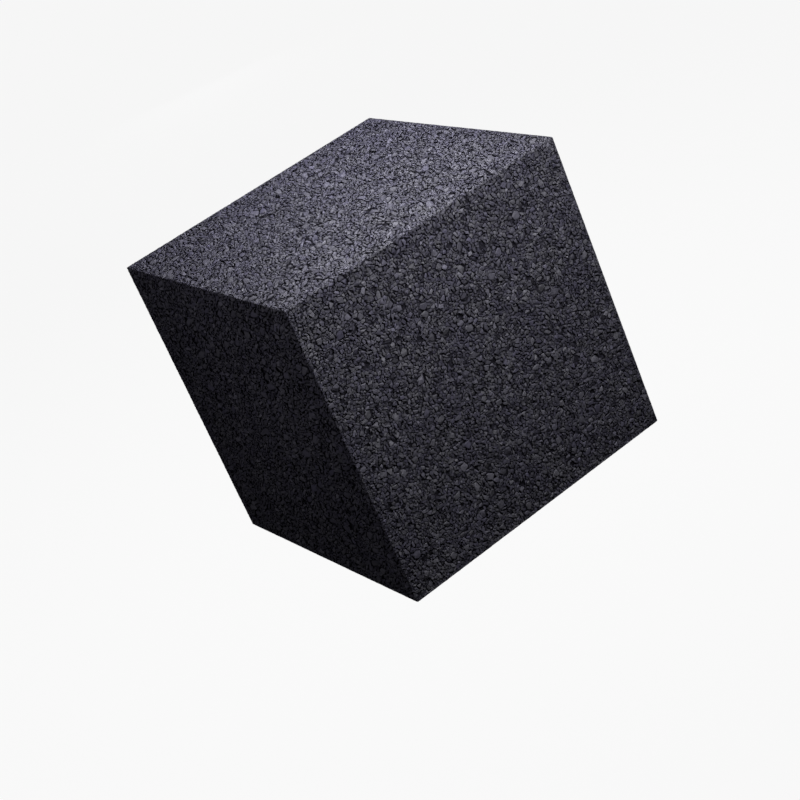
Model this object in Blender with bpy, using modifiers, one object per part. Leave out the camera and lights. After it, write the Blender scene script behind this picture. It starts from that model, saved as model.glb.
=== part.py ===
"""Pressed charcoal cube for a water pipe: one solid briquette with six flat faces and crisp edges.

Run it with: blender --background --python part.py

The cube is pressed from crushed coconut-shell charcoal and a starch binder in one stroke, so it is a
single body with no fasteners, no hollow and nothing that moves. It stands on its base face, +Z up, with
the origin at the middle of that face. X is its width, Y its depth and Z its height.
"""

import bpy
from mathutils import Matrix

# Driving dimensions, in metres.
WIDTH = 0.027  # along X
DEPTH = 0.027  # along Y
HEIGHT = 0.027  # along Z
EDGE_RADIUS = 0.0001  # every edge and corner rubs round to this

# How finely the rounded edges are cut.
EDGE_SEGMENTS = 3
SHARP_ANGLE = 0.6  # radians: flat faces stay flat, and the rounding is shaded smooth

# The finish: a matt, faintly violet near-black.
CHARCOAL_COLOUR = (0.062, 0.060, 0.080, 1.0)
CHARCOAL_ROUGHNESS = 0.72


def clear_scene():
    """Removes whatever the file opened with."""
    for obj in list(bpy.data.objects):
        bpy.data.objects.remove(obj, do_unlink=True)


def part_collection(name):
    """A new collection in the scene, for the part's objects."""
    made = bpy.data.collections.new(name)
    bpy.context.scene.collection.children.link(made)
    return made


def charcoal_finish():
    """A Principled material in the colour of pressed charcoal."""
    finish = bpy.data.materials.new("pressed_charcoal")
    finish.use_nodes = True
    shader = finish.node_tree.nodes["Principled BSDF"]
    shader.inputs["Base Color"].default_value = CHARCOAL_COLOUR
    shader.inputs["Roughness"].default_value = CHARCOAL_ROUGHNESS
    shader.inputs["Metallic"].default_value = 0.0
    return finish


def round_edges(block):
    """A bevel over every edge, as wide as the edge radius."""
    rounding = block.modifiers.new("rubbed_edges", "BEVEL")
    rounding.limit_method = "ANGLE"
    rounding.offset_type = "OFFSET"
    rounding.width = EDGE_RADIUS
    rounding.segments = EDGE_SEGMENTS
    rounding.use_clamp_overlap = True


def charcoal_cube(collection):
    """The briquette: a box of the three driving sizes, standing on z = 0, with rounded edges."""
    bpy.ops.mesh.primitive_cube_add(size=1.0)
    block = bpy.context.active_object
    block.name = "charcoal_cube"
    block.data.name = "charcoal_cube"
    # The primitive is one unit across, so its sizes are set in the mesh and the object keeps a scale of 1.
    block.data.transform(Matrix.Diagonal((WIDTH, DEPTH, HEIGHT, 1.0)))
    block.location = (0.0, 0.0, HEIGHT / 2)
    block.data.materials.append(charcoal_finish())
    round_edges(block)
    block.data.shade_smooth()
    block.data.set_sharp_from_angle(angle=SHARP_ANGLE)
    for holder in list(block.users_collection):
        holder.objects.unlink(block)
    collection.objects.link(block)
    return block


def main():
    clear_scene()
    charcoal_cube(part_collection("charcoal_cube"))


main()
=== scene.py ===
"""Pressed charcoal cube: the looks of its granular surface, on a pale studio stage.

The CAD cube gives the mould: a box with rounded edges. A dark binder body fills the mould up to just
below its wall, and the wall itself is paved with closed, many-sided grains of crushed charcoal. The
grains are laid coarse ones first, grow until they meet, keep a thin crevice between them, and are pressed
flat where they reach the wall.
"""

import itertools
import math
from typing import NamedTuple

import bpy
import numpy as np
from bpy.props import FloatProperty, FloatVectorProperty, IntProperty, PointerProperty
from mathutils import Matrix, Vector


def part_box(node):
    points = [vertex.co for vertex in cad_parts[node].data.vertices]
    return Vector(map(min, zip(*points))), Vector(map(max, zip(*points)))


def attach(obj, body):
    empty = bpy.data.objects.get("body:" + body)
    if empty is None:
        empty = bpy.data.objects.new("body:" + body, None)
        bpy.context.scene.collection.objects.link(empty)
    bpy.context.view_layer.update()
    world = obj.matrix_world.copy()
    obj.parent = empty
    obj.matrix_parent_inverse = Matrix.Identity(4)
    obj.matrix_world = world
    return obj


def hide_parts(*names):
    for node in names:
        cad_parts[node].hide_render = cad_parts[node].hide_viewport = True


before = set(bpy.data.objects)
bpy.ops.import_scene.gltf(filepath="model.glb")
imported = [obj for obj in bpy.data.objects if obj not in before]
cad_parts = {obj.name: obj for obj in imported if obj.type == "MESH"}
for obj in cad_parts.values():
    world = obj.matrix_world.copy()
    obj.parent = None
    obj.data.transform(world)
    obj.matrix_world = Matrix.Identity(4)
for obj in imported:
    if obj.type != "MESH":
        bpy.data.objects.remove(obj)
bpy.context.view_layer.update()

bl_info = {
    "name": "Pressed Charcoal Cube",
    "version": (1, 0, 0),
    "blender": (4, 5, 0),
    "location": "3D View > Sidebar > Charcoal",
    "description": "Builds the binder, the pressed grit and the studio stage of a charcoal cube",
    "category": "Add Mesh",
}

BODY = "root"
CUBE_NODE = "charcoal_cube"
BAKE_MAP = "OFBake"

MM = 0.001

# The mould's faces: the axis each looks along, and which way.
FACES = {
    "right": (0, 1.0),
    "left": (0, -1.0),
    "back": (1, 1.0),
    "front": (1, -1.0),
    "top": (2, 1.0),
    "base": (2, -1.0),
}


# ---------------------------------------------------------------------------------------------------
# Settings that a user would change
# ---------------------------------------------------------------------------------------------------


def length(name, description, millimetres):
    """A length property, given in millimetres and kept in metres."""
    return FloatProperty(
        name=name, description=description, default=millimetres * MM, precision=6, unit="LENGTH"
    )


def share(name, description, default):
    """A property for a share or a plain factor."""
    return FloatProperty(name=name, description=description, default=default, min=0.0, subtype="FACTOR")


def power(name, description, watts):
    """A lamp's power, in watts."""
    return FloatProperty(
        name=name, description=description, default=watts, min=0.0, precision=4, unit="POWER"
    )


def colour(name, description, default):
    """A linear colour property."""
    return FloatVectorProperty(
        name=name, description=description, default=default, size=3, min=0.0, max=1.0, subtype="COLOR"
    )


class CharcoalGritSettings(bpy.types.PropertyGroup):
    """The crushed charcoal grains that pave the cube."""

    edge_radius: length("Edge radius", "Rounding of the mould's edges and corners", 0.1)
    coarse: length("Coarse radius", "Mean radius of the few coarse grains", 0.29)
    middle: length("Middle radius", "Mean radius of the middling grains", 0.175)
    fine: length("Fine radius", "Mean radius of the fine grains that fill in between", 0.10)
    crevice: length("Crevice", "Width of the crevice between neighbouring grains", 0.03)
    shoulder: length("Shoulder", "How far a grain's sides fall away from its pressed top", 0.07)
    depth: length("Depth", "How deep a grain's root lies under its top", 0.3)
    sink: length("Sink", "How far a grain may lie below the mould's wall", 0.10)
    tilt: share("Tilt", "Slope of a grain's top, as a standard deviation", 0.185)
    missing: share("Missing grains", "Share of the grains that have broken out", 0.02)
    tone_spread: share("Tone spread", "How much the grains differ in brightness", 0.24)
    cool: colour("Cool grain", "Colour of the violet-grey grains", (0.064, 0.0595, 0.091))
    warm: colour("Warm grain", "Colour of the more neutral grains", (0.0735, 0.0710, 0.085))
    seed: IntProperty(name="Seed", description="Draws another cube of the same kind", default=27)


class CharcoalBinderSettings(bpy.types.PropertyGroup):
    """The dark mass of dust and starch that holds the grains."""

    inset: length("Inset", "How far the binder lies below the mould's wall", 0.22)
    relief: length("Relief", "Height of its lumps and pits", 0.05)
    tint: colour("Tint", "Colour of the sooty binder", (0.018, 0.0168, 0.025))


class CharcoalStageSettings(bpy.types.PropertyGroup):
    """The floor, the lamps and the camera."""

    # Painted light: the floor glows brighter round the cube than further off, a painted pool of lamp light.
    floor: colour("Floor", "Glow of the evenly lit floor round the cube", (0.955, 0.955, 0.955))
    backdrop: colour("Backdrop", "Glow of the floor further off and of the backdrop", (0.922, 0.922, 0.922))
    ambient: share("Ambient", "Faint light from all round", 0.026)
    key: power("Key lamp", "Power of the soft lamp above the front", 0.0303)
    top: power("Top lamp", "Power of the soft lamp over the top", 0.0134)
    side: power("Side lamp", "Power of the weak lamp on the left", 0.0029)
    rear: power("Rear lamps", "Power of each of the low lamps behind", 0.10)


# ---------------------------------------------------------------------------------------------------
# Shader expressions
# ---------------------------------------------------------------------------------------------------


class Value:
    """A number socket in a node tree. Arithmetic on values adds Math nodes, so a formula reads as one."""

    def __init__(self, tree, socket):
        self.tree = tree
        self.socket = socket

    def _math(self, operation, *terms):
        node = self.tree.node("ShaderNodeMath", {"operation": operation}, dict(enumerate(terms)))
        return Value(self.tree, node.outputs[0])

    def __add__(self, other):
        return self._math("ADD", self, other)

    __radd__ = __add__

    def __sub__(self, other):
        return self._math("SUBTRACT", self, other)

    def __rsub__(self, other):
        return self._math("SUBTRACT", other, self)

    def __mul__(self, other):
        return self._math("MULTIPLY", self, other)

    __rmul__ = __mul__


class Tree:
    """The nodes of a material or a world. One method makes any node from its type, settings and inputs."""

    def __init__(self, owner):
        owner.use_nodes = True
        self.owner = owner
        self.nodes = owner.node_tree.nodes
        self.links = owner.node_tree.links
        self.nodes.clear()

    def node(self, kind, settings=None, inputs=None):
        made = self.nodes.new(kind)
        for key, setting in (settings or {}).items():
            setattr(made, key, setting)
        for key, given in (inputs or {}).items():
            self.feed(made.inputs[key], given)
        return made

    def feed(self, socket, given):
        """Links a value or a socket, and writes anything else as the socket's own number or colour."""
        if isinstance(given, Value):
            self.links.new(given.socket, socket)
        elif isinstance(given, bpy.types.NodeSocket):
            self.links.new(given, socket)
        else:
            socket.default_value = given

    def attribute(self, name):
        """A number that the piece keeps on its vertices."""
        node = self.node("ShaderNodeAttribute", {"attribute_name": name})
        return Value(self, node.outputs["Fac"])

    def noise(self, size, detail, roughness):
        """Fractal noise from 0 to 1 with features of this size in metres, over Object coordinates."""
        place = self.node("ShaderNodeTexCoord").outputs["Object"]
        inputs = {"Vector": place, "Scale": 1 / size, "Detail": detail, "Roughness": roughness}
        return Value(self, self.node("ShaderNodeTexNoise", {}, inputs).outputs[0])

    def mix(self, factor, low, high):
        """A colour that goes from low to high as the factor goes from 0 to 1."""
        node = self.node("ShaderNodeMix", {"data_type": "RGBA"})
        for number, given in zip((0, 6, 7), (factor, low, high)):
            self.feed(node.inputs[number], given)
        return node.outputs[2]

    def scaled(self, tint, gain):
        """A colour times a number."""
        node = self.node("ShaderNodeVectorMath", {"operation": "SCALE"}, {0: tint, "Scale": gain})
        return node.outputs[0]

    def bump(self, height, distance, strength):
        """A normal roughened by a height in the range of 0 to 1, that is this far from low to high."""
        inputs = {"Height": height, "Distance": distance, "Strength": strength}
        return self.node("ShaderNodeBump", {}, inputs).outputs[0]

    def surface(self, inputs):
        """Ends a material's nodes in a Principled shader and gives the material."""
        shader = self.node("ShaderNodeBsdfPrincipled", {}, inputs)
        self.node("ShaderNodeOutputMaterial", {}, {"Surface": shader.outputs[0]})
        return self.owner


def opaque(tint):
    """A colour's three numbers as the four that a colour socket holds."""
    return (*tint, 1.0)


# ---------------------------------------------------------------------------------------------------
# The mould and the meshes
# ---------------------------------------------------------------------------------------------------

EDGE_BAND = 0.3 * MM  # how far from the cube's edges its surface begins to come up to the wall


def unit(vectors):
    """The vectors scaled to a length of 1."""
    return vectors / np.linalg.norm(vectors, axis=-1, keepdims=True)


def dot(first, second):
    """The product of each vector with the other one of its pair."""
    return (first * second).sum(-1, keepdims=True)


class Mould:
    """The box with rounded edges that the cube is pressed in, with its place and size from the CAD cube.
    Its core is the box less the rounding on every side."""

    def __init__(self, radius):
        low, high = (np.array(corner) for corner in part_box(CUBE_NODE))
        self.centre = (low + high) / 2
        self.half = (high - low) / 2
        self.radius = radius
        self.core = self.half - radius

    @staticmethod
    def normal(name):
        """The unit vector that a face looks along."""
        axis, sign = FACES[name]
        return sign * np.eye(3)[axis]

    def outward(self, points):
        """Each point's unit vector away from the nearest point of the core."""
        away = points - self.centre
        return unit(away - np.clip(away, -self.core, self.core))

    def wall(self, name, across, along):
        """Points of the wall. Across and along run from -1 to 1 over one sharp face of the box, and each
        of its points moves towards the core until it is one radius away from it."""
        axis, sign = FACES[name]
        away = np.empty((*np.shape(across), 3))
        away[..., axis] = sign
        away[..., (axis + 1) % 3] = across
        away[..., (axis + 2) % 3] = along
        away *= self.half
        nearest = np.clip(away, -self.core, self.core)
        return self.centre + nearest + unit(away - nearest) * self.radius

    def pressed(self, points):
        """The points, with those outside the wall moved straight back onto it."""
        away = points - self.centre
        nearest = np.clip(away, -self.core, self.core)
        rest = away - nearest
        reach = np.linalg.norm(rest, axis=-1, keepdims=True)
        rest *= np.minimum(1.0, self.radius / np.maximum(reach, self.radius))
        return self.centre + nearest + rest

    def edge_distance(self, points):
        """How far points on the wall are from the nearest edge: the second least of their three distances
        from the planes of the box's faces."""
        return np.sort(self.half - np.abs(points - self.centre), axis=-1)[..., 1]

    def freedom(self, points, least):
        """How freely the surface may leave the wall: least on the cube's edges, and from there to the
        width of the edge band it rises to 1 with the square of the distance."""
        room = np.clip(self.edge_distance(points) / EDGE_BAND, 0, 1)
        return room**2 * (1 - least) + least


def new_piece(name, points, faces, material, smooth):
    """A mesh object at the origin from points and same-sided faces, attached to the body's empty."""
    mesh = bpy.data.meshes.new(name)
    mesh.vertices.add(len(points))
    mesh.vertices.foreach_set("co", points.astype(np.float32).ravel())
    mesh.loops.add(faces.size)
    mesh.loops.foreach_set("vertex_index", faces.astype(np.int32).ravel())
    mesh.polygons.add(len(faces))
    starts = np.arange(len(faces), dtype=np.int32) * faces.shape[1]
    mesh.polygons.foreach_set("loop_start", starts)
    mesh.polygons.foreach_set("use_smooth", np.full(len(faces), smooth))
    mesh.update(calc_edges=True)
    mesh.materials.append(material)
    piece = bpy.data.objects.new(name, mesh)
    bpy.context.scene.collection.objects.link(piece)
    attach(piece, BODY)
    return piece


def keep_number(piece, name, values):
    """Writes one number a vertex, for the materials to read."""
    attribute = piece.data.attributes.new(name, "FLOAT", "POINT")
    attribute.data.foreach_set("value", values.astype(np.float32))


def keep_map(piece, places):
    """Writes the UV place of every face corner."""
    layer = piece.data.uv_layers.new(name=BAKE_MAP)
    layer.uv.foreach_set("vector", places.astype(np.float32).ravel())


def ripples(points, wavelength, rng, waves=24):
    """Smooth random relief, mostly between -1 and 1: the sum of plane sine waves of random direction and
    phase, 0.6 to 1.6 times as long as the wavelength given, scaled to a standard deviation of a half."""
    direction = unit(rng.normal(size=(waves, 3)))
    pitch = wavelength * rng.uniform(0.6, 1.6, waves)
    phase = rng.uniform(0, 2 * math.pi, waves)
    turned = points @ (2 * math.pi * direction / pitch[:, None]).T + phase
    return np.sin(turned).sum(axis=-1) / math.sqrt(2 * waves)


# ---------------------------------------------------------------------------------------------------
# The binder
# ---------------------------------------------------------------------------------------------------

BINDER_CELLS = 110  # along each side of a face
BINDER_EDGE = 0.05  # the freedom that the binder has on the cube's edges
LUMP = 0.6 * MM  # typical size of the binder's lumps
LUMP_LIMIT = 1.5  # of the relief: the highest lump and the deepest pit
SEAM = 0.001 * MM  # points nearer than this on two faces are the same point
TILE_MARGIN = 0.03  # free border round a face in its tile of the map

DUST = 0.15 * MM  # size of the specks that mottle the binder
DUST_CONTRAST = 4.0  # how many times stronger than the noise the mottling is, about a mean of 1
DUST_HEIGHT = 0.12 * MM


def binder_material(settings):
    """Soot and starch: near black, dull, faintly mottled."""
    tree = Tree(bpy.data.materials.new("charcoal_binder"))
    dust = tree.noise(DUST, 4.0, 0.7)
    tint = tree.scaled(tuple(settings.tint), DUST_CONTRAST * dust + (1 - DUST_CONTRAST / 2))
    return tree.surface(
        {
            "Base Color": tint,
            "Roughness": 0.85,
            "Specular IOR Level": 0.2,
            "Normal": tree.bump(dust, DUST_HEIGHT, 1.0),
        }
    )


def binder_grid(mould):
    """The mould's wall as a closed mesh of four-sided faces, and the UV place of every face corner. Each
    face of the cube is a grid of even steps in a tile of its own, three tiles by two, and the grids are
    joined where they share points."""
    step = np.linspace(-1, 1, BINDER_CELLS + 1)
    across, along = np.meshgrid(step, step, indexing="ij")
    tile = np.stack([across, along], -1).reshape(-1, 2) / 2 + 0.5
    tile = tile * (1 - 2 * TILE_MARGIN) + TILE_MARGIN
    row = np.arange(BINDER_CELLS)[:, None] * (BINDER_CELLS + 1)
    corner = (row + np.arange(BINDER_CELLS)).reshape(-1, 1)
    turn = np.array([0, BINDER_CELLS + 1, BINDER_CELLS + 2, 1])
    points, faces, places = [], [], []
    for number, (name, (_, sign)) in enumerate(FACES.items()):
        quads = corner + (turn if sign > 0 else turn[::-1])
        points.append(mould.wall(name, across, along).reshape(-1, 3))
        faces.append(quads + number * across.size)
        places.append((tile[quads] + (number % 3, number // 3)) / (3, 2))
    points, faces, places = map(np.concatenate, (points, faces, places))
    _, first, same = np.unique(np.round(points / SEAM), axis=0, return_index=True, return_inverse=True)
    return points[first], same.reshape(-1)[faces], places.reshape(-1, 2)


class CHARCOAL_OT_binder(bpy.types.Operator):
    """Adds the dark body under the grains. It takes the CAD cube's place"""

    bl_idname = "charcoal.binder"
    bl_label = "Add Binder"

    def execute(self, context):
        """The mould's wall, drawn in by the inset plus the relief: ripples of one lump's size, and half as
        strong ones of half that size."""
        settings = context.scene.charcoal_binder
        grit = context.scene.charcoal_grit
        mould = Mould(grit.edge_radius)
        points, faces, places = binder_grid(mould)
        rng = np.random.default_rng(grit.seed)
        relief = ripples(points, LUMP, rng) + 0.5 * ripples(points, LUMP / 2, rng)
        depth = settings.inset + settings.relief * np.clip(relief, -LUMP_LIMIT, LUMP_LIMIT)
        depth *= mould.freedom(points, BINDER_EDGE)
        points -= mould.outward(points) * depth[:, None]
        piece = new_piece("binder", points, faces, binder_material(settings), True)
        keep_map(piece, places)
        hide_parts(CUBE_NODE)
        return {"FINISHED"}


# ---------------------------------------------------------------------------------------------------
# The grit: laying the grains
# ---------------------------------------------------------------------------------------------------


class Grade(NamedTuple):
    """One sieve size of grains."""

    setting: str  # the setting that holds its mean radius
    spread: float  # of the radius: how much it varies
    darts: int  # thrown at each go
    goes: int
    sides: int
    rings: int  # of points round each grain: a rim, and in the coarser grades a shoulder under it
    bright: float  # its usual brightness
    mixed: float  # how much of the tone spread it has


GRADES = (
    Grade("coarse", 0.30, 800, 1, 8, 2, 1.18, 0.5),
    Grade("middle", 0.35, 9000, 2, 6, 2, 1.05, 0.9),
    Grade("fine", 0.35, 90000, 8, 6, 1, 0.94, 1.0),
)
LONGEST = 1.6  # length of the longest grains over their width
PACKING = 0.95  # of the sum of two radii: how near two grains may be laid

# The press smears the grit on two of the faces: its grains are larger, longer and calmer there.
DRAG = {"top": (0.44, 0.90, 0.0), "left": (0.0, 0.90, -0.43)}
NO_DRAG = (0.0, 0.0, 0.0)
PULL = 1.3  # of a random turn: how strongly the grains follow the drag
DRAWN_SIZE = 1.3
DRAWN_LENGTH = 1.35
DRAWN_UNREST = 0.65  # how much is left there of their sink, their tilt and their unevenness

CELL_KEY = np.array([1, 1 << 12, 1 << 24])  # turns a cell's three numbers into one
PAIR_HASH = np.array([12.9898, 78.233, 37.719, 43758.5453])  # any numbers with no simple ratio
TINY = 1e-9  # keeps the measure of a grain's offset to itself above 0


class Grains(NamedTuple):
    """Grains as arrays, with one row for each. A grain lies in an ellipse on the mould's wall."""

    middle: np.ndarray
    radius: np.ndarray  # of the circle that is as large as the ellipse
    length: np.ndarray  # over the width
    grade: np.ndarray
    outward: np.ndarray
    along: np.ndarray  # the way of the length

    @property
    def count(self):
        return len(self.middle)

    @property
    def across(self):
        """The way of the width."""
        return np.cross(self.outward, self.along)

    def pick(self, which):
        """Some of the grains."""
        return Grains(*(column[which] for column in self))

    def less(self, numbers):
        """The grains without the numbered ones."""
        kept = np.ones(self.count, bool)
        kept[numbers] = False
        return self.pick(kept)

    def joined(self, other):
        """These grains and the other ones."""
        return Grains(*map(np.concatenate, zip(self, other)))

    def semi_axes(self):
        """Half the length and half the width of each ellipse."""
        root = np.sqrt(self.length)
        return self.radius * root, self.radius / root

    def pull(self, i, offset):
        """The ellipses' own measure of an offset from each of the grains i: the offset with its two parts
        divided by the squares of the semi-axes, as a vector, so that offset . pull is 1 on an ellipse."""
        long, short = (axis[i][:, None] for axis in self.semi_axes())
        along, across = self.along[i], self.across[i]
        return dot(offset, along) / long**2 * along + dot(offset, across) / short**2 * across


def near_pairs(points, others, reach):
    """Every pair (i, j) whose points[i] and others[j] are nearer than reach. Space is cut into cells of
    that size and the others are sorted by cell, so each point looks only through the cells round its own:
    nine runs of three cells that follow each other."""
    low = np.minimum(points.min(axis=0), others.min(axis=0)) - 2 * reach
    key = ((others - low) / reach).astype(np.int64) @ CELL_KEY
    order = np.argsort(key, kind="stable")
    key = key[order]
    home = ((points - low) / reach).astype(np.int64)
    found = []
    for second, third in itertools.product((-1, 0, 1), repeat=2):
        middle = (home + (0, second, third)) @ CELL_KEY
        first = np.searchsorted(key, middle - 1, "left")
        count = np.searchsorted(key, middle + 1, "right") - first
        i = np.repeat(np.arange(len(points)), count)
        start = np.repeat(first - (np.cumsum(count) - count), count)
        j = order[start + np.arange(len(i))]
        near = np.linalg.norm(points[i] - others[j], axis=1) < reach
        found.append((i[near], j[near]))
    return tuple(np.concatenate(side) for side in zip(*found))


def ellipse_steps(grains, i, others, j):
    """The offset from each grain to the other one, the two grains' own measures of it, and how many of
    their ellipse radii it is long."""
    offset = others.middle[j] - grains.middle[i]
    own, far = grains.pull(i, offset), others.pull(j, offset)
    mine, yours = (np.sqrt(np.maximum(dot(offset, pull)[:, 0], TINY)) for pull in (own, far))
    return offset, own, far, mine, yours


def clashes(grains, others):
    """The pairs of grains that would lie too near each other: the parts of their offset inside the two
    ellipses add up to more than all of it."""
    longest = grains.semi_axes()[0].max() + others.semi_axes()[0].max()
    i, j = near_pairs(grains.middle, others.middle, PACKING * longest)
    _, _, _, mine, yours = ellipse_steps(grains, i, others, j)
    hit = PACKING * (1 / mine + 1 / yours) > 1
    return i[hit], j[hit]


def darts(mould, number, radius, rng):
    """Grains of one grade dropped at random on the mould's wall. Each is turned at random, and where the
    press drags the grit its turn is drawn towards the drag and laid back into the wall."""
    grade = GRADES[number]
    count = grade.darts
    area = np.array([np.delete(mould.half, axis).prod() for axis, _ in FACES.values()])
    side = rng.choice(len(FACES), count, p=area / area.sum())
    across, along = rng.uniform(-1, 1, (2, count))
    middle = np.empty((count, 3))
    for face, name in enumerate(FACES):
        here = side == face
        middle[here] = mould.wall(name, across[here], along[here])
    outward = mould.outward(middle)
    drag = np.array([DRAG.get(name, NO_DRAG) for name in FACES])[side]
    drawn = drag.any(axis=1)
    turned = unit(np.cross(outward, rng.normal(size=outward.shape)))
    turned += PULL * drag * np.where(dot(turned, drag) < 0, -1, 1)
    turned = unit(turned - outward * dot(turned, outward))
    radius = radius * rng.uniform(1 - grade.spread, 1 + grade.spread, count)
    length = rng.uniform(1.0, LONGEST, count)
    radius *= np.where(drawn, DRAWN_SIZE, 1)
    length *= np.where(drawn, DRAWN_LENGTH, 1)
    return Grains(middle, radius, length, np.full(count, number), outward, turned)


def laid_grains(mould, settings, rng):
    """The grains: darts thrown at the mould's wall, the coarse grade first. A dart counts if it lands
    clear of the grains that lie there and of the darts thrown with it and before it. Only grains without
    a shoulder may reach over the cube's edges."""
    laid = None
    for number, grade in enumerate(GRADES):
        for _ in range(grade.goes):
            thrown = darts(mould, number, getattr(settings, grade.setting), rng)
            if grade.rings == 2:
                thrown = thrown.pick(mould.edge_distance(thrown.middle) >= thrown.radius)
            if laid is not None:
                thrown = thrown.less(clashes(thrown, laid)[0])
            i, j = clashes(thrown, thrown)
            thrown = thrown.less(i[i > j])
            laid = thrown if laid is None else laid.joined(thrown)
    return laid


# ---------------------------------------------------------------------------------------------------
# The grit: the shape of each grain
# ---------------------------------------------------------------------------------------------------

TRIES = 3  # spokes that are tried for each corner of a grain
SHIFT = 0.4  # of the step between two spokes: how far one may be off its place
REACH_OUT = 2.4  # of the longest semi-axis: how far off a neighbour may lie
NEIGHBOURS = 0.42  # of the offset between two neighbours: how much of it their ellipses cover at least
SWING = 0.7  # radians: the range in which the line between two neighbours is turned
CREVICES = (-0.3, 1.7)  # of the crevice's width: the narrowest, where grains overlap, and the widest
GRAZING = 0.12  # cosine under which a spoke runs beside a line and never meets it
GROWTH = 2.2  # of its radius: how far a grain grows into an empty place
LEAST = 0.25  # of its radius: how far it reaches in any case

RAGGED = (0.90, 1.06)  # of its reach: how far out a corner lies
RIM = (0.74, 0.84)  # of a corner's way out: where the rim lies over a shoulder
FALL = (0.7, 1.3)  # of the shoulder's height
UNEVEN = 0.6  # of the shoulder: how much the corners of a grain's top differ in height
CREST = 0.35  # of its radius: how high a grain's crown may stand
OFF_CENTRE = 0.45  # of its shortest way out: how far off its middle the crown may be


def pair_draw(i, j, number):
    """A random-looking number from 0 to 1 that a pair of grains share, whichever comes first: the
    fraction of a large sine of their two numbers."""
    low, high = np.minimum(i, j), np.maximum(i, j)
    first, second, third, size = PAIR_HASH
    return np.modf(np.abs(np.sin(low * first + high * second + number * third)) * size)[0]


def spokes(grains, sides, rng):
    """Unit vectors from each grain's middle, as parts along and across: several tries for each side, in
    even steps round its ellipse from a random start, each shifted a little at random."""
    count = sides * TRIES
    step = rng.uniform(-SHIFT, SHIFT, (grains.count, count)) + np.arange(count)
    angle = 2 * math.pi * (step / count + rng.uniform(size=(grains.count, 1)))
    long, short = (axis[:, None] for axis in grains.semi_axes())
    return unit(np.stack([long * np.cos(angle), short * np.sin(angle)], -1))


def farthest(spoke, reach):
    """One spoke for each side: of its tries, the one that reaches farthest. It finds the corners."""
    reach = reach.reshape(len(reach), -1, TRIES)
    best = reach.argmax(axis=-1)[..., None]
    spoke = spoke.reshape(*reach.shape, 2)
    return (
        np.take_along_axis(spoke, best[..., None], axis=2)[:, :, 0],
        np.take_along_axis(reach, best, axis=2)[:, :, 0],
    )


def outlines(grains, which, spoke, settings):
    """How far each of the picked grains reaches along its spokes. Two neighbours part along a straight
    line. It crosses their offset where it is as many ellipse radii from one as from the other, lies
    square to the mean of their two pulls there, and is turned and set back a little by draws that the
    pair share. A grain reaches to the nearest of its lines, or to its own limit of growth."""
    picked = grains.pick(which)
    i, j = near_pairs(picked.middle, grains.middle, REACH_OUT * grains.semi_axes()[0].max())
    number = np.flatnonzero(which)
    offset, own, far, mine, yours = ellipse_steps(picked, i, grains, j)
    near = (1 / mine + 1 / yours > NEIGHBOURS) & (number[i] != j)
    i, j, offset, own, far, mine, yours = (x[near] for x in (i, j, offset, own, far, mine, yours))
    cut = (yours / (mine + yours))[:, None]
    normal = unit(cut * own + (1 - cut) * far)
    turn = (pair_draw(number[i], j, 1)[:, None] - 0.5) * SWING
    normal = normal * np.cos(turn) + np.cross(picked.outward[i], normal) * np.sin(turn)
    line = cut * dot(normal, offset)
    narrow, wide = CREVICES
    line -= settings.crevice * (narrow + (wide - narrow) * pair_draw(number[i], j, 2)[:, None] ** 3)
    flat = np.stack([dot(normal, picked.along[i]), dot(normal, picked.across[i])], -1)
    facing = (spoke[i] * flat).sum(-1)
    limit = GROWTH * picked.radius[:, None]
    steep = facing < GRAZING
    reach = np.where(steep, limit[i], line / np.where(steep, 1, facing))
    reach = np.concatenate([reach, np.repeat(limit, spoke.shape[1], 1)])
    owner = np.concatenate([i, np.arange(picked.count)])
    order = np.argsort(owner, kind="stable")
    first = np.searchsorted(owner[order], np.arange(picked.count))
    return np.maximum(np.minimum.reduceat(reach[order], first, axis=0), LEAST * picked.radius[:, None])


def grain_faces(count, sides, rings):
    """Triangles of so many grains whose points are the crown, one or two rings and the root, and which of
    them are on the buried underside."""
    ring = np.arange(sides)
    after = (ring + 1) % sides
    crown, root = np.zeros_like(ring), np.full_like(ring, rings * sides + 1)
    low = 1 + (rings - 1) * sides
    bands = [np.stack([crown, 1 + ring, 1 + after], 1)]
    if rings == 2:
        bands.append(np.stack([1 + ring, low + ring, low + after], 1))
        bands.append(np.stack([1 + ring, low + after, 1 + after], 1))
    bands.append(np.stack([low + ring, root, low + after], 1))
    one = np.concatenate(bands)
    foot = np.arange(len(one)) >= len(one) - sides
    step = np.arange(count)[:, None, None] * (rings * sides + 2)
    return (one + step).reshape(-1, 3), np.tile(foot, count)


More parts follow.
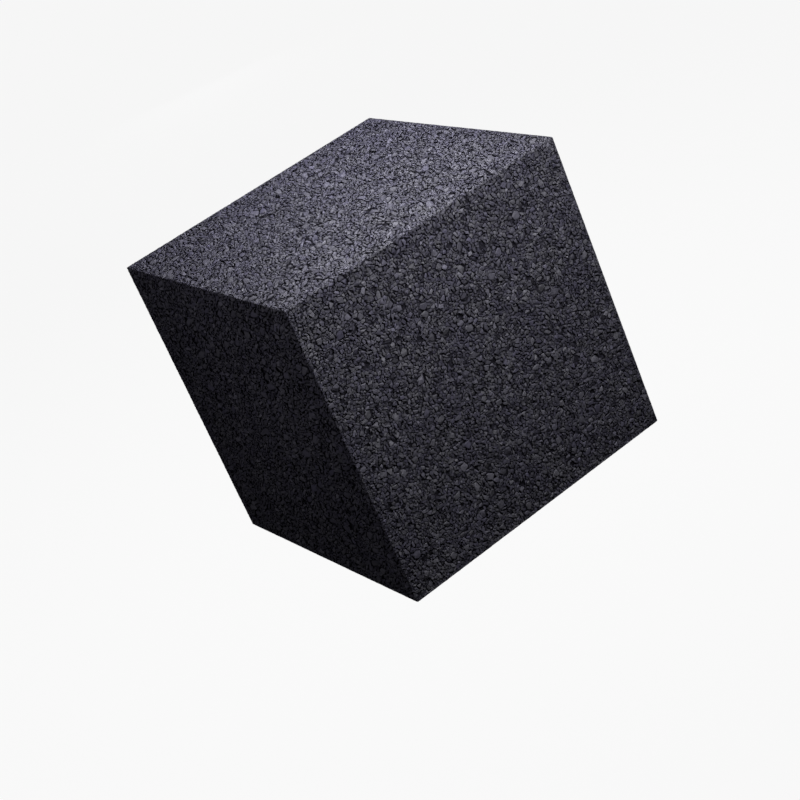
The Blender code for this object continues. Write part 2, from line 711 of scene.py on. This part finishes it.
def shaped_grains(mould, settings, grains, spoke, reach, sink, relief, rings, rng):
    """The points of each grain: a crown off its middle, a rim just inside the outline, a shoulder at the
    outline if there is a second ring, and a root below. Heights are along the grain's outward vector,
    with a tilt, and the wall presses flat what stands out. The relief scales the sink, the tilt and the
    unevenness."""
    reach = reach * rng.uniform(*RAGGED, reach.shape)
    way = spoke[..., :1] * grains.along[:, None] + spoke[..., 1:] * grains.across[:, None]
    sink = sink * relief
    slope = rng.normal(0, settings.tilt, (grains.count, 1, 2)) * relief[:, None, None]
    uphill = (spoke * slope).sum(-1)
    rim = reach * (rng.uniform(*RIM, reach.shape) if rings == 2 else 1.0)
    peak = CREST * grains.radius * rng.uniform(0, 1, grains.count) - sink
    aside = rng.uniform(-OFF_CENTRE, OFF_CENTRE, (2, grains.count, 1)) * rim.min(axis=1)[:, None]
    crown = grains.middle + aside[0] * grains.along + aside[1] * grains.across

    def raised(distance, height):
        out = grains.outward[:, None] * height[..., None]
        return grains.middle[:, None] + way * distance[..., None] + out

    uneven = UNEVEN * settings.shoulder * relief[:, None]
    level = rng.uniform(-0.5, 0.5, reach.shape) * uneven - sink[:, None]
    made = [(crown + grains.outward * peak[:, None])[:, None], raised(rim, level + uphill * rim)]
    if rings == 2:
        fall = settings.shoulder * rng.uniform(*FALL, reach.shape)
        made.append(raised(reach, level + uphill * reach - fall))
    made.append((grains.middle - grains.outward * (sink + settings.depth)[:, None])[:, None])
    return mould.pressed(np.concatenate(made, axis=1))


# ---------------------------------------------------------------------------------------------------
# The grit: what sets the grains apart, and the pieces
# ---------------------------------------------------------------------------------------------------

PATCH = 4 * MM  # across the broad patches
CLUMP = 1.3 * MM  # across the clumps in which grains stand higher and lighter

# What a clump and a patch at their height of 1 add to a grain. The clump's share of the tone is partly
# painted shade: where clumps are low, grains sink deeper and are darkened as if their neighbours shadowed
# them.
CLUMP_SINK, PATCH_SINK = -0.8, 0.3
CLUMP_TONE_AND_SHADE, PATCH_TONE = 0.22, 0.05
CLUMP_MISSING = -1.5  # of the share that is missing
PATCH_WARMTH = 0.2

FIRM = MM  # how near the cube's edges no grain has broken out
PROUD = -0.2  # of the sink: the start of its range, so that a part of the grains don't sink at all
WARMTH, WARMTH_SPREAD = 0.55, 0.3
TONE_WARMTH = 0.8  # how much warmer the brighter grains are
GRAIN_EDGE = 0.2  # the freedom that the grains have on the cube's edges

# Painted shade: how much a grain's colour is darkened down its sides into the crevices, where shade falls.
PAINTED_SHADES = (1.0, 0.97, 0.75, 0.5)  # of a grain's crown, rim, shoulder and root

MOTTLE = 0.12 * MM  # size of the blotches on a grain
MOTTLE_CONTRAST = 1.2  # how many times stronger than the noise they are, about a mean of 1
PIT = 0.03 * MM  # size of a grain's pits
BROKEN_HEIGHT = 0.02 * MM  # of the blotches, and half of it of the pits
DULL = 0.78  # roughness of the dullest grains
GLOSS = 0.3  # how much less rough the glossiest are
PIT_ROUGHNESS = 0.12  # how much the pits make the roughness differ

# The map of a face: how large its grains are in it, and its low corner. The buried undersides go small
# into a strip beside the rest.
UPPER_MAP = (0.905, (0.005, 0.005))
FOOT_MAP = (0.07, (0.925, 0.01))


def grit_material(settings):
    """Crushed charcoal: each grain has its own tone of violet grey and a fine broken texture. Painted shade
    darkens and cools each grain down its sides, into the crevices between the grains."""
    tree = Tree(bpy.data.materials.new("charcoal_grit"))
    mottle = tree.noise(MOTTLE, 3.0, 0.65)
    pits = tree.noise(PIT, 2.0, 0.6)
    blotches = (1 - MOTTLE_CONTRAST / 2) + MOTTLE_CONTRAST * mottle
    # Painted shade: the grain's tone is darkened and its hue turned cooler down its sides.
    tone = tree.attribute("tone") * tree.attribute("shade") * blotches
    hue_and_painted_shade = tree.attribute("warmth") * tree.attribute("shade")
    base = tree.mix(hue_and_painted_shade, opaque(settings.cool), opaque(settings.warm))
    rough = DULL - GLOSS * tree.attribute("gloss") + PIT_ROUGHNESS * (pits - 0.5)
    return tree.surface(
        {
            "Base Color": tree.scaled(base, tone),
            "Roughness": rough,
            "Normal": tree.bump(mottle + 0.5 * pits, BROKEN_HEIGHT, 0.5),
        }
    )


class Temper(NamedTuple):
    """What sets the grains apart, as arrays."""

    face: np.ndarray  # the number of the cube's face that the grain belongs to
    lost: np.ndarray  # whether it has broken out
    sink: np.ndarray
    relief: np.ndarray  # how much of its sink, tilt and unevenness it keeps
    tone: np.ndarray  # its brightness
    warmth: np.ndarray
    gloss: np.ndarray


def tempers(mould, settings, grains, rng):
    """Draws for every grain. A grain belongs to the face whose normal is nearest its own. Clumps and
    patches are ripples over the cube. The sink is an even draw plus their shares, and never negative. The
    tone is the grade's brightness times e to the power of a normal draw plus their shares, and the warmth
    a normal draw plus shares of the tone's logarithm and of the patch. Coarse grains and those near the
    edges never break out."""
    count = grains.count
    face = (grains.outward @ np.array([mould.normal(name) for name in FACES]).T).argmax(axis=1)
    unrest = np.array([DRAWN_UNREST if name in DRAG else 1.0 for name in FACES])
    patch = ripples(grains.middle, PATCH, rng)
    clump = ripples(grains.middle, CLUMP, rng)
    loose = (mould.edge_distance(grains.middle) >= FIRM) & (grains.grade > 0)
    lost = rng.uniform(size=count) < settings.missing * (1 + CLUMP_MISSING * clump) * loose
    sink = rng.uniform(PROUD, 1, count) + CLUMP_SINK * clump + PATCH_SINK * patch
    sink = settings.sink * np.maximum(sink, 0)
    relief = mould.freedom(grains.middle, GRAIN_EDGE) * unrest[face]
    bright, mixed = np.array([(grade.bright, grade.mixed) for grade in GRADES])[grains.grade].T
    # Partly random tone, partly painted shade: the clump darkens the grains that it lets sink.
    tone = rng.normal(0, settings.tone_spread, count) * mixed + PATCH_TONE * patch + CLUMP_TONE_AND_SHADE * clump
    tone = bright * np.exp(tone)
    warmth = rng.normal(WARMTH, WARMTH_SPREAD, count) + TONE_WARMTH * np.log(tone) + PATCH_WARMTH * patch
    gloss = rng.uniform(size=count)
    return Temper(face, lost, sink, relief, tone, np.clip(warmth, 0, 1), gloss)


class CHARCOAL_OT_grit(bpy.types.Operator):
    """Adds the charcoal grains, one piece for each face of the cube"""

    bl_idname = "charcoal.grit"
    bl_label = "Add Grit"

    def execute(self, context):
        """Each grade of grains is shaped in one go for each face, and each face's grades become a piece."""
        settings = context.scene.charcoal_grit
        mould = Mould(settings.edge_radius)
        rng = np.random.default_rng(settings.seed)
        grains = laid_grains(mould, settings, rng)
        temper = tempers(mould, settings, grains, rng)
        material = grit_material(settings)
        built = {name: [] for name in FACES}
        for number, grade in enumerate(GRADES):
            sides, rings = grade.sides, grade.rings
            which = grains.grade == number
            spoke = spokes(grains.pick(which), sides, rng)
            spoke, reach = farthest(spoke, outlines(grains, which, spoke, settings))
            # Painted shade for every point of a grain, darker from its crown down to its root.
            shade = np.repeat(PAINTED_SHADES, (1, sides, (rings - 1) * sides, 1))
            for face, name in enumerate(FACES):
                here = which & (temper.face == face) & ~temper.lost
                some = here[which]
                shape = (spoke[some], reach[some], temper.sink[here], temper.relief[here])
                points = shaped_grains(mould, settings, grains.pick(here), *shape, rings, rng)
                faces, foot = grain_faces(here.sum(), sides, rings)
                numbers = {
                    key: np.repeat(getattr(temper, key)[here], len(shade))
                    for key in ("tone", "warmth", "gloss")
                }
                numbers["shade"] = np.tile(shade, here.sum())
                built[name].append((points.reshape(-1, 3), faces, foot, numbers))
        for name, groups in built.items():
            self.add_face(name, groups, mould, material)
        return {"FINISHED"}

    @staticmethod
    def add_face(name, groups, mould, material):
        """Joins a face's groups of grains into one piece. Its map lays the grains out flat, as seen from
        outside."""
        points, faces, foot, numbers = zip(*groups)
        start = np.cumsum([0] + [len(group) for group in points[:-1]])
        faces = np.concatenate([group + low for group, low in zip(faces, start)])
        points, foot = np.concatenate(points), np.concatenate(foot)[:, None, None]
        piece = new_piece("grit_" + name, points, faces, material, False)
        for key in numbers[0]:
            keep_number(piece, key, np.concatenate([group[key] for group in numbers]))
        axis = FACES[name][0]
        flat = (points - mould.centre) / (2 * mould.half) + 0.5
        flat = flat[:, [(axis + 1) % 3, (axis + 2) % 3]][faces]
        upper, under = (flat * size + corner for size, corner in (UPPER_MAP, FOOT_MAP))
        keep_map(piece, np.where(foot, under, upper).reshape(-1, 2))


# ---------------------------------------------------------------------------------------------------
# The stage
# ---------------------------------------------------------------------------------------------------

FLOOR_SIDE = 6.0
FLOOR_SHEEN = 0.001  # how much lamp light the floor gives back, for a faint contact shadow
# Painted light: the pool of brighter glow round the cube fades out over this distance.
PAINTED_POOL_RADIUS = 110 * MM  # how far from the cube the floor's glow has faded to the backdrop's

# The lamps: the setting that holds the power, the place and the side in millimetres, and the tint.
LAMPS = (
    ("key", (7, -37, 55), 36, (0.98, 0.99, 1.0)),
    ("top", (14, 13, 55), 15, (0.88, 0.88, 1.0)),
    ("side", (-49, -8, 38), 16, (0.92, 0.90, 1.0)),
    ("rear", (150, 60, 15), 24, (0.94, 0.95, 1.0)),
    ("rear", (60, 150, 15), 24, (0.94, 0.95, 1.0)),
)

# The camera, in millimetres and degrees: it leans well over, as the cube is shown tumbling.
EYE = (-64.9, -133.3, 77.3)
TURN = (63.12, 21.29, -35.90)
FOCAL_LENGTH = 86.0
SENSOR = 36.0


def floor_material(settings):
    """A pale sweep that gives back only a little of the lamps' light. Its glow is painted light: brighter
    round the cube, as a painted pool of lamp light, and fading to the backdrop's glow further off.
    """
    tree = Tree(bpy.data.materials.new("stage_floor"))
    place = tree.node("ShaderNodeTexCoord").outputs["Object"]
    span = tree.node("ShaderNodeVectorMath", {"operation": "LENGTH"}, {0: place}).outputs["Value"]
    step = {"interpolation_type": "SMOOTHSTEP"}
    range_of = {"Value": span, "From Min": 0.0, "From Max": PAINTED_POOL_RADIUS}
    fade = tree.node("ShaderNodeMapRange", step, range_of).outputs["Result"]
    return tree.surface(
        {
            "Base Color": opaque((FLOOR_SHEEN,) * 3),
            "Roughness": 1.0,
            "Specular IOR Level": 0.0,
            "Emission Color": tree.mix(fade, opaque(settings.floor), opaque(settings.backdrop)),
            "Emission Strength": 1.0,
        }
    )


class CHARCOAL_OT_stage(bpy.types.Operator):
    """Adds the floor, the lamps, the world and the camera"""

    bl_idname = "charcoal.stage"
    bl_label = "Add Stage"

    def execute(self, context):
        settings = context.scene.charcoal_stage
        self.add_floor(settings)
        self.add_world(context.scene, settings)
        for number, (setting, place, side, tint) in enumerate(LAMPS):
            self.add_lamp(f"{setting}_lamp_{number}", place, side, tint, getattr(settings, setting))
        self.add_camera(context.scene)
        context.scene.view_settings.view_transform = "Standard"
        return {"FINISHED"}

    @staticmethod
    def add_floor(settings):
        """A flat square under the cube. It lights nothing, so that the lamps alone shape the cube."""
        reach = FLOOR_SIDE / 2
        corners = ((-reach, -reach), (reach, -reach), (reach, reach), (-reach, reach))
        mesh = bpy.data.meshes.new("stage_floor")
        mesh.from_pydata([(x, y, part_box(CUBE_NODE)[0].z) for x, y in corners], [], [(0, 1, 2, 3)])
        mesh.materials.append(floor_material(settings))
        floor = bpy.data.objects.new("stage_floor", mesh)
        bpy.context.scene.collection.objects.link(floor)
        floor.visible_diffuse = False
        floor.visible_glossy = False

    @staticmethod
    def add_world(scene, settings):
        """The camera sees the world as bright as the far floor, and the cube gets only the ambient."""
        world = bpy.data.worlds.new("studio")
        scene.world = world
        tree = Tree(world)
        sight = tree.node("ShaderNodeLightPath").outputs["Is Camera Ray"]
        light = tree.mix(sight, opaque((settings.ambient,) * 3), opaque(settings.backdrop))
        back = tree.node("ShaderNodeBackground", {}, {"Color": light})
        tree.node("ShaderNodeOutputWorld", {}, {"Surface": back.outputs[0]})

    @staticmethod
    def add_lamp(name, place, side, tint, watts):
        """A square soft box at place, facing the cube's middle."""
        lamp = bpy.data.lights.new(name, "AREA")
        lamp.shape = "SQUARE"
        lamp.size = side * MM
        lamp.energy = watts
        lamp.color = tint
        made = bpy.data.objects.new(name, lamp)
        place = Vector(place) * MM
        low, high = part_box(CUBE_NODE)
        made.location = place
        made.rotation_euler = ((low + high) / 2 - place).to_track_quat("-Z", "Y").to_euler()
        made.visible_camera = False
        bpy.context.scene.collection.objects.link(made)

    @staticmethod
    def add_camera(scene):
        lens = bpy.data.cameras.new("camera")
        lens.lens = FOCAL_LENGTH
        lens.sensor_width = SENSOR
        lens.clip_start = 1 * MM
        camera = bpy.data.objects.new("camera", lens)
        camera.rotation_euler = [math.radians(angle) for angle in TURN]
        camera.location = Vector(EYE) * MM
        scene.collection.objects.link(camera)
        scene.camera = camera


# ---------------------------------------------------------------------------------------------------
# The add-on
# ---------------------------------------------------------------------------------------------------

OPERATORS = (CHARCOAL_OT_binder, CHARCOAL_OT_grit, CHARCOAL_OT_stage)
SETTINGS = {
    "charcoal_grit": CharcoalGritSettings,
    "charcoal_binder": CharcoalBinderSettings,
    "charcoal_stage": CharcoalStageSettings,
}


class CHARCOAL_PT_panel(bpy.types.Panel):
    """Lists the pieces and their settings"""

    bl_idname = "CHARCOAL_PT_panel"
    bl_label = "Pressed Charcoal Cube"
    bl_space_type = "VIEW_3D"
    bl_region_type = "UI"
    bl_category = "Charcoal"

    def draw(self, context):
        for operator in OPERATORS:
            self.layout.operator(operator.bl_idname)
        for name, group in SETTINGS.items():
            box = self.layout.box()
            for key in group.__annotations__:
                box.prop(getattr(context.scene, name), key)


def register():
    for cls in (*SETTINGS.values(), *OPERATORS, CHARCOAL_PT_panel):
        bpy.utils.register_class(cls)
    for name, group in SETTINGS.items():
        setattr(bpy.types.Scene, name, PointerProperty(type=group))


def unregister():
    for name in SETTINGS:
        delattr(bpy.types.Scene, name)
    for cls in (CHARCOAL_PT_panel, *OPERATORS, *SETTINGS.values()):
        bpy.utils.unregister_class(cls)


def main():
    register()
    bpy.ops.charcoal.binder()
    bpy.ops.charcoal.grit()
    bpy.ops.charcoal.stage()


if __name__ == "__main__":
    main()
